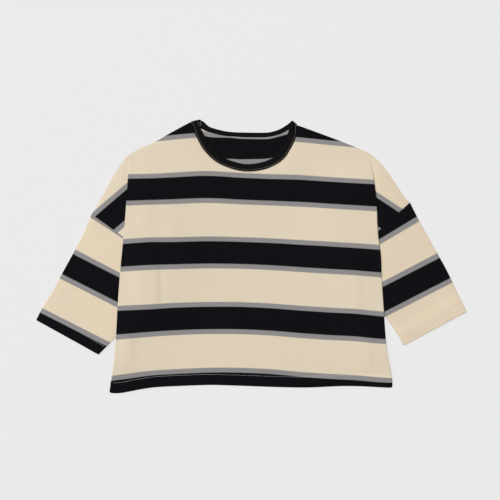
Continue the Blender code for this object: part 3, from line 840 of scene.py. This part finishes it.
class Sleeve:
    """A flattened tube, open at the armhole and the cuff, with its end turned up."""

    def __init__(self, layout, grain):
        self.layout = layout
        self.grain = grain
        self.end = layout.sleeve_length - FOLD_REACH
        self.shares = graded(SLEEVE_WIDTH, EDGE_ROWS, EDGE_ROWS) / SLEEVE_WIDTH
        self.mesh = ClothMesh()
        self.tube()

    def rows(self):
        """(length along the sleeve, how far inside the outer wall, length past the
        end of the cuff) for each ring."""
        outer = [(s, 0.0, 0.0) for s in graded(self.end, EDGE_ROWS, CUFF_ROWS)]
        turns = half_turn(FOLD_TURNS)[1:-1]
        fold = [
            (
                self.end + FOLD_REACH * math.sin(angle),
                LAYER * (1 - math.cos(angle)) / 2,
                FOLD_REACH * angle / math.pi,
            )
            for angle in turns
        ]
        inner = [(self.end - depth, LAYER, FOLD_REACH + depth) for depth in TURN_UP_ROWS]
        return outer + fold + inner

    def tube(self):
        """All rings as one patch."""
        rings = [self.ring(*row) for row in self.rows()]
        x, y, z, across, along = (np.array(values) for values in zip(*rings))
        self.mesh.patch(x, y, z, (across, along), under=self.layout.sign > 0)

    def ring(self, length, inset, past_end):
        """One closed ring: over the top from the outer edge, and back underneath."""
        start, stop = self.layout.across_sleeve(length)
        width = np.linalg.norm(stop - start)
        across = (stop - start) / width
        doubled = smooth((length - self.layout.sleeve_length + CUFF_DEPTH) / CUFF_STEP + 1)
        centre = LAYER * (1 + doubled) + GAP / 2
        half = PANEL_STEP / 2 + LAYER * doubled - inset
        edge = FOLD_REACH + inset
        flat = edge + (width - 2 * edge) * self.shares
        turn = half_turn(FOLD_TURNS)[1:-1]
        turned = edge - FOLD_REACH * np.sin(turn)
        place = np.concatenate([flat, width - turned, flat[::-1], turned, flat[:1]])
        level = np.concatenate([
            np.full(len(flat), half),
            half * np.cos(turn),
            np.full(len(flat), -half),
            -half * np.cos(turn),
            [half],
        ])
        x = start[0] + across[0] * place
        y = start[1] + across[1] * place
        upper = smooth(level / half)
        from_edge = np.minimum(place, width - place)
        fade = smooth(from_edge / SWELL_FADE) * smooth(length / SWELL_FADE)
        swell = upper * arm_swell(x, y) * fade * (inset < LAYER / 2)
        dip = upper * SEAM_DIP * smooth(1 - length / SEAM_REACH)
        z = self.layout.lift(x, y) + centre + level + swell - dip
        lateral = np.concatenate([flat, width + turned, 2 * width - flat[::-1], -turned, flat[:1]])
        along = piece_grain(self.grain, x, y)[1] + 2 * past_end
        return x, y, z, lateral, along


# ------------------------------------------------------------------- neck binding


def band_edges(rows):
    """Half the binding's seam edge and its free edge, as polylines of as many points."""
    seam_rows = [TURN_LEFT[:2], *((r.x, r.y) for r in rows), TURN_RIGHT[:2]]
    free_rows = [TURN_LEFT[2:]]
    for before, row, after in zip(seam_rows, rows, seam_rows[2:]):
        run = math.hypot(after[0] - before[0], after[1] - before[1])
        way_x, way_y = (after[0] - before[0]) / run, (after[1] - before[1]) / run
        free_rows.append((row.x - way_y * row.width, row.y + way_x * row.width))
    free_rows.append(TURN_RIGHT[2:])
    seam, free = curve_through(seam_rows), curve_through(free_rows)
    parts = round(lengths_along(seam)[-1] / BAND_GRID)
    shares = np.linspace(0, 1, parts + 1)
    return tuple(at_lengths(line, shares * lengths_along(line)[-1]) for line in (seam, free))


def band_profile():
    """(share of the width from the seam edge, height) round the binding's section."""
    flat = np.array(BAND_FLAT_SHARES)
    turn = half_turn(BAND_EDGE_TURNS)[1:-1]
    crown = BAND_WALL * (1 + BAND_CROWN * np.sin(math.pi * flat))
    groove = BAND_GROOVE * np.exp(-(((flat - BAND_STITCH_SHARE) / BAND_GROOVE_SHARE) ** 2))
    share = np.concatenate([flat, flat[-1] + (1 - flat[-1]) * np.sin(turn), flat[::-1]])
    height = np.concatenate([
        0 * flat,
        BAND_WALL * (1 - np.cos(turn)) / 2,
        (crown - groove)[::-1],
    ])
    return share, height


def neck_binding(material):
    """The binding as one ring: the front half lies over the back half."""
    front_seam, front_free = band_edges(NECK_FRONT)
    back_seam, back_free = (line[::-1] for line in band_edges(NECK_BACK))
    turns = half_turn(BAND_TURNS + 1)[1:-1]
    each_turn = np.ones((BAND_TURNS, 1))
    stretches = (
        (front_seam, front_free, np.zeros(len(front_seam))),
        (each_turn * TURN_RIGHT[:2], each_turn * TURN_RIGHT[2:], turns),
        (back_seam, back_free, np.full(len(back_seam), math.pi)),
        (each_turn * TURN_LEFT[:2], each_turn * TURN_LEFT[2:], turns[::-1]),
        (front_seam[:1], front_free[:1], np.zeros(1)),
    )
    seam, free, angle = (np.concatenate(part) for part in zip(*stretches))
    across = free - seam
    out = np.column_stack([-across[:, 1], across[:, 0]])
    out /= np.linalg.norm(out, axis=1)[:, None]
    out *= np.where(out[:, 1:] < 0, -1.0, 1.0)
    share, height = band_profile()
    radius = GAP / 2 + height
    sine, cosine = np.sin(angle)[:, None], np.cos(angle)[:, None]
    x = seam[:, :1] + across[:, :1] * share + out[:, :1] * radius * sine
    y = seam[:, 1:] + across[:, 1:] * share + out[:, 1:] * radius * sine
    z = np.maximum(BAND_WALL + GAP / 2 + radius * cosine, 0.0)
    along = lengths_along((seam + free) / 2)[:, None] + 0 * x
    width = np.linalg.norm(across, axis=1)[:, None] * share
    ring = ClothMesh()
    ring.patch(x, y, z, (width, along), closed=True)
    return ring.make("neck_binding", [material])


# ------------------------------------------------------------------------ stitching


def stitch_run(name, line, height, use, sewing):
    """A row of stitches along a plan line: each is a short arched length of thread. use
    is hem, cuff, neck or tack."""
    if use == "tack":
        length, thickness, colour = BAR_STITCH, BAR_THREAD, sewing.neck
    else:
        length, thickness, colour = sewing.stitch / MM, sewing.thickness / MM, getattr(sewing, use)
    total = lengths_along(line)[-1]
    count = max(1, round(total / (length + STITCH_GAP)))
    spacing = total / count
    middles = (np.arange(count) + 0.5) * spacing
    centres = at_lengths(line, middles)
    way = at_lengths(line, middles + STITCH_REACH) - at_lengths(line, middles - STITCH_REACH)
    way /= np.linalg.norm(way, axis=1)[:, None]
    reach = np.linspace(-1, 1, STITCH_RINGS)[:, None]
    turn = np.arange(STITCH_SIDES) * 2 * math.pi / STITCH_SIDES
    girth = thickness / 2 * np.sqrt(np.maximum(1 - reach**4, STITCH_TIP))
    ahead = (reach * length / 2 + 0 * turn).ravel()
    aside = (girth * np.cos(turn)).ravel()
    rise = (girth * np.sin(turn) - thickness * reach**2 * STITCH_SAG).ravel()
    x = centres[:, :1] + way[:, :1] * ahead - way[:, 1:] * aside
    y = centres[:, 1:] + way[:, 1:] * ahead + way[:, :1] * aside
    z = height(centres[:, 0], centres[:, 1])[:, None] + rise
    vertices = np.stack([x, y, z], axis=-1).reshape(-1, 3) * MM
    size = STITCH_RINGS * STITCH_SIDES
    starts = (np.arange(count) * size)[:, None, None]
    around = np.arange(STITCH_SIDES)
    onward = (around + 1) % STITCH_SIDES
    belt = np.column_stack([around, onward, onward + STITCH_SIDES, around + STITCH_SIDES])
    belts = np.vstack([belt + ring * STITCH_SIDES for ring in range(STITCH_RINGS - 1)])
    tips = np.stack([around[::-1], around + size - STITCH_SIDES])
    faces = (starts + belts).reshape(-1, 4).tolist()
    faces += (starts + tips).reshape(-1, STITCH_SIDES).tolist()
    stitches = new_piece(name, vertices.tolist(), faces, [thread(use, tuple(colour))])
    stitches.data.shade_smooth()
    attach(stitches, "root")
    return stitches


def hem_line():
    """The plan line of the hem's topstitching."""
    x = np.linspace(HEM[0][0] + HEM_STITCH_ENDS, HEM[-1][0] - HEM_STITCH_ENDS, HEM_STITCH_POINTS)
    return np.column_stack([x, hem_y(x) + HEM_DEPTH])


def front_top(x, y):
    """Top of the front's main layer, away from its seams."""
    wall = bpy.context.scene.tee_cloth.wall / MM
    return front_main(x, y, np.full(np.shape(x), HEM_CLEAR)) + wall / 2


def cuff_line(layout):
    """The plan line of a cuff's topstitching, and the sleeve's top along it."""
    start, stop = layout.across_sleeve(layout.sleeve_length - CUFF_STITCH_IN)
    line = start + (stop - start) * np.linspace(*CUFF_STITCH_SHARES, CUFF_STITCH_POINTS)[:, None]
    wall = bpy.context.scene.tee_cloth.wall / MM

    def top(x, y):
        from_start = np.hypot(x - start[0], y - start[1])
        from_edge = np.minimum(from_start, np.hypot(x - stop[0], y - stop[1]))
        swell = arm_swell(x, y) * smooth(from_edge / SWELL_FADE)
        return layout.lift(x, y) + CUFF_MIDDLE + wall / 2 + swell

    return line, top


def neck_line():
    """The plan line of the binding's topstitching."""
    seam, free = band_edges(NECK_FRONT)
    width = np.linalg.norm(free - seam, axis=1)[:, None]
    return seam + (free - seam) / width * BAND_STITCH_IN


def band_top(x, y):
    """Top of the front half of the binding, beside its stitching."""
    return 2 * BAND_WALL + GAP + 0 * x


def groove_top(x, y):
    """The same in the groove that its stitching pulls in."""
    return band_top(x, y) - BAND_GROOVE / 2


# ------------------------------------------------------------------------ materials


def linear(hex_colour):
    """An sRGB hex colour as linear RGBA."""
    parts = [int(hex_colour[i : i + 2], 16) / 255 for i in (1, 3, 5)]
    low = [p / 12.92 if p <= 0.04045 else ((p + 0.055) / 1.055) ** 2.4 for p in parts]
    return (*low, 1.0)


def feed(tree, node, inputs):
    """Gives each of a node's sockets a value or links an output to it."""
    for socket, value in inputs.items():
        if isinstance(value, bpy.types.NodeSocket):
            tree.links.new(value, node.inputs[socket])
        else:
            node.inputs[socket].default_value = value


def add(tree, kind, inputs, **settings):
    """Adds a node with its settings, and feeds it."""
    node = tree.nodes.new(kind)
    for name, value in settings.items():
        setattr(node, name, value)
    feed(tree, node, inputs)
    return node


def new_material(name):
    """A material, its node tree and its shader."""
    material = bpy.data.materials.new(name)
    material.use_nodes = True
    tree = material.node_tree
    return material, tree, tree.nodes["Principled BSDF"]


def math_chain(tree, value, *steps):
    """A value passed through steps in turn: an operation, and its number or output."""
    for operation, *second in steps:
        inputs = {0: value, **dict(enumerate(second, 1))}
        value = add(tree, "ShaderNodeMath", inputs, operation=operation).outputs[0]
    return value


def stripe_ramp(tree, place, cream, black, grey):
    """The yarn-dyed bands: place is 0 to 1 from a black band's upper edge down."""
    ramp = add(tree, "ShaderNodeValToRGB", {0: place})
    soft = BAND_EDGE / REPEAT / 2
    edges = (
        (BLACK_BAND / REPEAT, black, grey),
        ((BLACK_BAND + LOWER_GREY) / REPEAT, grey, cream),
        (1 - UPPER_GREY / REPEAT, cream, grey),
        (1 - soft, grey, black),
    )
    stops = ramp.color_ramp.elements
    for end in stops:
        end.color = black
    for edge, before, after in edges:
        for position, colour in ((edge - soft, before), (edge + soft, after)):
            if 0 < position < 1:
                stops.new(position).color = colour
    return ramp.outputs["Color"]


def knit_height(tree, across, along):
    """Height of plain knitting, 0 to 1: columns of stitches, each a leaning V."""
    fold = (("SUBTRACT", 0.5), ("ABSOLUTE",))
    column = math_chain(tree, across, ("DIVIDE", WALE), ("FRACT",), *fold, ("MULTIPLY", 2.0))
    lean = math_chain(tree, column, ("MULTIPLY", STITCH_LEAN))
    row = math_chain(tree, along, ("DIVIDE", COURSE), ("ADD", lean), ("FRACT",), *fold, ("MULTIPLY", 2.0))
    leg = math_chain(tree, column, *fold, ("MULTIPLY", LEG_SLOPE), ("ADD", LEG_TOP))
    return math_chain(tree, row, ("MULTIPLY", COURSE_SHARE), ("ADD", leg))


def jersey(name, colours, sheen):
    """Yarn-dyed cotton jersey, plain knitted. Soft matt bands with edges that step from
    stitch to stitch, fine upright columns of stitches, and a faint bloom of loose fibre
    where the cloth turns away."""
    material, tree, shader = new_material(name)
    grain = add(tree, "ShaderNodeUVMap", {}, uv_map="cloth_grain").outputs[0]
    split = add(tree, "ShaderNodeSeparateXYZ", {0: grain})
    across, along = (math_chain(tree, split.outputs[axis], ("DIVIDE", MM)) for axis in (0, 1))
    fuzz = {"Vector": grain, "Scale": 1 / (YARN_NOISE * MM), "Detail": YARN_DETAIL}
    cloud = {"Vector": grain, "Scale": 1 / (CLOUD_SIZE * MM), "Detail": CLOUD_DETAIL}
    fibre, cloudy = (add(tree, "ShaderNodeTexNoise", size).outputs[0] for size in (fuzz, cloud))
    ragged = math_chain(tree, fibre, ("SUBTRACT", 0.5), ("MULTIPLY", EDGE_RAGGED))
    place = math_chain(tree, along, ("ADD", ragged), ("DIVIDE", REPEAT), ("FLOORED_MODULO", 1.0))
    bands = stripe_ramp(tree, place, *colours)
    knit = knit_height(tree, across, along)
    tone = 1.0
    # cloud and fleck are the yarn's own uneven tone; the knit's share is painted shade in the gaps
    # between stitches
    for pattern, share in ((cloudy, CLOUD_SHARE), (fibre, FLECK_SHARE), (knit, KNIT_SHADE)):
        tone = math_chain(tree, pattern, ("SUBTRACT", 0.5), ("MULTIPLY", share), ("ADD", tone))
    base = add(tree, "ShaderNodeVectorMath", {0: bands, "Scale": tone}, operation="SCALE")
    relief = {"Height": knit, "Strength": KNIT_RELIEF, "Distance": KNIT_DEPTH * MM}
    looks = {
        "Base Color": base.outputs[0],
        "Normal": add(tree, "ShaderNodeBump", relief).outputs[0],
        "Roughness": 0.92,
        "IOR": 1.5,
        "Specular IOR Level": 0.1,
        "Sheen Weight": sheen,
        "Sheen Roughness": 0.45,
    }
    feed(tree, shader, looks)
    return material


def rib_knit(name, colour):
    """Black cotton rib knit, folded into a binding: close soft ribs across its length."""
    material, tree, shader = new_material(name)
    grain = add(tree, "ShaderNodeUVMap", {}, uv_map="cloth_grain").outputs[0]
    split = add(tree, "ShaderNodeSeparateXYZ", {0: grain})
    wave = (("MULTIPLY", 2 * math.pi / (RIB * MM)), ("SINE",), ("MULTIPLY", 0.5), ("ADD", 0.5))
    rib = math_chain(tree, split.outputs[1], *wave)
    fuzz = {"Vector": grain, "Scale": 1 / (YARN_NOISE * MM), "Detail": YARN_DETAIL}
    fibre = add(tree, "ShaderNodeTexNoise", fuzz).outputs[0]
    tone = math_chain(tree, fibre, ("MULTIPLY", RIB_FLECK), ("ADD", RIB_LEAST))
    # painted shade: darker between the ribs, where the rib is lower
    tone = math_chain(tree, rib, ("MULTIPLY", RIB_SHADE), ("ADD", tone))
    base = add(tree, "ShaderNodeVectorMath", {0: colour[:3], "Scale": tone}, operation="SCALE")
    relief = {"Height": rib, "Strength": RIB_RELIEF, "Distance": RIB_DEPTH * MM}
    looks = {
        "Base Color": base.outputs[0],
        "Normal": add(tree, "ShaderNodeBump", relief).outputs[0],
        "Roughness": 0.9,
        "Specular IOR Level": 0.1,
        "Sheen Weight": 0.03,
    }
    feed(tree, shader, looks)
    return material


def thread(use, colour):
    """Spun polyester sewing thread, made once for each use: a slight gloss on twisted plies."""
    name = f"spun_polyester_thread_{use}"
    if name in bpy.data.materials:
        return bpy.data.materials[name]
    material, tree, shader = new_material(name)
    place = add(tree, "ShaderNodeTexCoord", {}).outputs["Object"]
    plies = {"Vector": place, "Scale": 1 / (PLY * MM), "Detail": PLY_DETAIL}
    ply = add(tree, "ShaderNodeTexNoise", plies).outputs[0]
    tone = math_chain(tree, ply, ("MULTIPLY", PLY_FLECK), ("ADD", PLY_LEAST))
    base = add(tree, "ShaderNodeVectorMath", {0: colour[:3], "Scale": tone}, operation="SCALE")
    feed(tree, shader, {"Base Color": base.outputs[0], "Roughness": 0.55})
    return material


def lit_table(name, colour, glow):
    """Opal acrylic sheet, lit evenly from below, so that hardly a shadow shows on it."""
    material, tree, shader = new_material(name)
    looks = {
        "Base Color": colour,
        "Roughness": 1.0,
        "Specular IOR Level": 0.0,
        "Emission Color": WHITE,
        "Emission Strength": glow,
    }
    feed(tree, shader, looks)
    return material


def jersey_materials(cloth):
    """The striped jersey, and a copy of it with painted light: its cream is painted a little lighter and
    warmer, as the cloth looks where it lies turned to the light, for the right dropped shoulder and the
    sleeves. Both are made once."""
    looks = (
        ("yarn_dyed_jersey_body", cloth.body_cream),
        ("yarn_dyed_jersey_sleeve", cloth.sleeve_cream),
    )
    for name, cream in looks:
        if name not in bpy.data.materials:
            jersey(name, [tuple(colour) for colour in (cream, cloth.black, cloth.grey)], cloth.sheen)
    return [bpy.data.materials[name] for name, cream in looks]


# ----------------------------------------------------------------------- properties


def colour_property(label, description, hex_colour):
    return bpy.props.FloatVectorProperty(
        name=label,
        description=description,
        subtype="COLOR",
        size=4,
        min=0.0,
        max=1.0,
        default=linear(hex_colour),
    )


def length_property(label, description, default):
    return bpy.props.FloatProperty(
        name=label,
        description=description,
        subtype="DISTANCE",
        unit="LENGTH",
        min=0.0,
        precision=4,
        default=default,
    )


def strength_property(label, description, default):
    return bpy.props.FloatProperty(
        name=label,
        description=description,
        subtype="FACTOR",
        min=0.0,
        soft_max=1.0,
        default=default,
    )


class TeeCloth(bpy.types.PropertyGroup):
    wall: length_property("Cloth thickness", "Thickness of one layer of jersey", 0.001)
    body_cream: colour_property("Body cream", "Ground colour of the body panels", "#E4D5BD")
    # painted light: the same cloth's cream, painted a little lighter and warmer as it looks turned to the
    # light
    sleeve_cream: colour_property("Sleeve cream", "Ground colour of the sleeves", "#E6D5BB")
    black: colour_property("Black", "Wide bands of the cloth", "#0C0B10")
    grey: colour_property("Grey", "Narrow bands beside the black ones", "#918F8E")
    binding: colour_property("Binding", "Rib binding of the neck", "#0E0D10")
    sheen: strength_property("Bloom", "Loose fibre that catches light where the cloth turns away", 0.03)


class TeeThread(bpy.types.PropertyGroup):
    stitch: length_property("Stitch length", "Length of one stitch of topstitching", 0.0027)
    thickness: length_property("Thread thickness", "Diameter of the sewing thread", 0.0005)
    hem: colour_property("Hem thread", "Thread of the hem", "#C9C7CE")
    cuff: colour_property("Cuff thread", "Thread of the cuffs", "#CDCAD0")
    neck: colour_property("Neck thread", "Thread of the binding", "#B5AA90")


class TeeStage(bpy.types.PropertyGroup):
    floor: colour_property("Floor", "Opal sheet under the garment", "#585858")
    glow: strength_property("Table light", "Light that the sheet gives off itself", 0.735)
    sky: strength_property("Fill light", "Even light from all round", 0.2)
    lamp: strength_property("Lamps", "Share of their full strength", 1.0)
    camera_height: length_property("Camera height", "Height of the camera above the surface", 2.4)


# ------------------------------------------------------------------------ operators


class TEE_OT_front(bpy.types.Operator):
    """The front panel with both sides tucked under, and its turned-up, stitched hem"""

    bl_idname = "tee.front"
    bl_label = "Front panel"

    def execute(self, context):
        cloth = context.scene.tee_cloth
        panel = BodyPanel(neck_edge(NECK_FRONT), -1, front_main, front_shoulder, front_grain)
        body = panel.mesh.make("front_cloth", jersey_materials(cloth), cloth.wall)
        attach(body, "root")
        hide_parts("front_panel")
        sewing = context.scene.tee_thread
        stitches = stitch_run("hem_stitches", hem_line(), front_top, "hem", sewing)
        return {"FINISHED"}


class TEE_OT_back(bpy.types.Operator):
    """The back panel, the lowest layer, tucked and hemmed like the front"""

    bl_idname = "tee.back"
    bl_label = "Back panel"

    def execute(self, context):
        cloth = context.scene.tee_cloth
        panel = BodyPanel(neck_edge(NECK_BACK), 1, back_main, back_shoulder, back_grain)
        body = panel.mesh.make("back_cloth", jersey_materials(cloth), cloth.wall)
        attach(body, "root")
        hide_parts("back_panel")
        return {"FINISHED"}


class TEE_OT_sleeves(bpy.types.Operator):
    """Both sleeves as flattened tubes with turned-up, stitched cuffs"""

    bl_idname = "tee.sleeves"
    bl_label = "Sleeves"

    def execute(self, context):
        cloth = context.scene.tee_cloth
        sewing = context.scene.tee_thread
        # the sleeves take only the copy with painted light
        materials = jersey_materials(cloth)[1:]
        for side, layout, grain in zip(("left", "right"), LAYOUTS, SLEEVE_GRAINS):
            body = Sleeve(layout, grain).mesh.make(f"sleeve_{side}_cloth", materials, cloth.wall)
            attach(body, "root")
            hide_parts(f"sleeve_{side}")
            line, top = cuff_line(layout)
            stitches = stitch_run(f"cuff_stitches_{side}", line, top, "cuff", sewing)
        return {"FINISHED"}


class TEE_OT_binding(bpy.types.Operator):
    """The black rib binding of the neck, one stitched ring that turns over at the shoulders"""

    bl_idname = "tee.binding"
    bl_label = "Neck binding"

    def execute(self, context):
        sewing = context.scene.tee_thread
        colour = tuple(context.scene.tee_cloth.binding)
        body = neck_binding(rib_knit("cotton_rib_knit", colour))
        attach(body, "root")
        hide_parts("neckband")
        stitches = [stitch_run("neck_stitches", neck_line(), groove_top, "neck", sewing)]
        for number, (x0, y0, x1, y1) in enumerate(BAR_TACK):
            stroke = np.array([(x0, y0), (x1, y1)])
            stitches.append(stitch_run(f"bar_tack_{number}", stroke, band_top, "tack", sewing))
        return {"FINISHED"}


class TEE_OT_stage(bpy.types.Operator):
    """A lit opal table, soft light and a camera straight above"""

    bl_idname = "tee.stage"
    bl_label = "Stage"

    def execute(self, context):
        scene = context.scene
        stage = scene.tee_stage
        half = FLOOR_HALF
        corners = [(-half, -half, 0), (half, -half, 0), (half, half, 0), (-half, half, 0)]
        opal = lit_table("opal_acrylic", tuple(stage.floor), stage.glow)
        new_piece("studio_floor", corners, [(0, 1, 2, 3)], [opal])
        world = bpy.data.worlds.new("studio_fill")
        world.use_nodes = True
        background = world.node_tree.nodes["Background"]
        feed(world.node_tree, background, {"Strength": stage.sky, "Color": WHITE})
        scene.world = world
        for made in LAMPS:
            light = bpy.data.lights.new(made.name, "AREA")
            light.energy = stage.lamp * made.power
            light.size = made.size
            lamp = bpy.data.objects.new(made.name, light)
            turn = Euler((math.radians(90 - made.elevation), 0.0, math.radians(made.azimuth)))
            lamp.rotation_euler = turn
            lamp.location = turn.to_matrix() @ Vector((0.0, 0.0, made.distance))
            scene.collection.objects.link(lamp)
        lens = bpy.data.cameras.new("overhead_camera")
        lens.lens = LENS
        lens.sensor_width = SENSOR
        camera = bpy.data.objects.new("overhead_camera", lens)
        camera.location = (CAMERA_X * MM, CAMERA_Y * MM, stage.camera_height)
        scene.collection.objects.link(camera)
        scene.camera = camera
        scene.view_settings.view_transform = "Standard"
        return {"FINISHED"}


class TEE_PT_panel(bpy.types.Panel):
    """Lists the garment's pieces and the values that they are made from"""

    bl_idname = "TEE_PT_panel"
    bl_label = "Laid striped tee"
    bl_space_type = "VIEW_3D"
    bl_region_type = "UI"
    bl_category = "Tee"

    def draw(self, context):
        scene = context.scene
        for settings in (scene.tee_cloth, scene.tee_thread, scene.tee_stage):
            box = self.layout.box()
            for name in settings.__annotations__:
                box.prop(settings, name)
        for operator in PIECES:
            self.layout.operator(operator.bl_idname)


SETTINGS = (TeeCloth, TeeThread, TeeStage)
PIECES = (TEE_OT_front, TEE_OT_back, TEE_OT_sleeves, TEE_OT_binding, TEE_OT_stage)


def register():
    for made in (*SETTINGS, *PIECES, TEE_PT_panel):
        bpy.utils.register_class(made)
    bpy.types.Scene.tee_cloth = bpy.props.PointerProperty(type=TeeCloth)
    bpy.types.Scene.tee_thread = bpy.props.PointerProperty(type=TeeThread)
    bpy.types.Scene.tee_stage = bpy.props.PointerProperty(type=TeeStage)


def unregister():
    del bpy.types.Scene.tee_cloth, bpy.types.Scene.tee_thread, bpy.types.Scene.tee_stage
    for made in reversed((*SETTINGS, *PIECES, TEE_PT_panel)):
        bpy.utils.unregister_class(made)


def main():
    register()
    bpy.ops.tee.front()
    bpy.ops.tee.back()
    bpy.ops.tee.sleeves()
    bpy.ops.tee.binding()
    bpy.ops.tee.stage()
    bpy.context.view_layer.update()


if __name__ == "__main__":
    main()
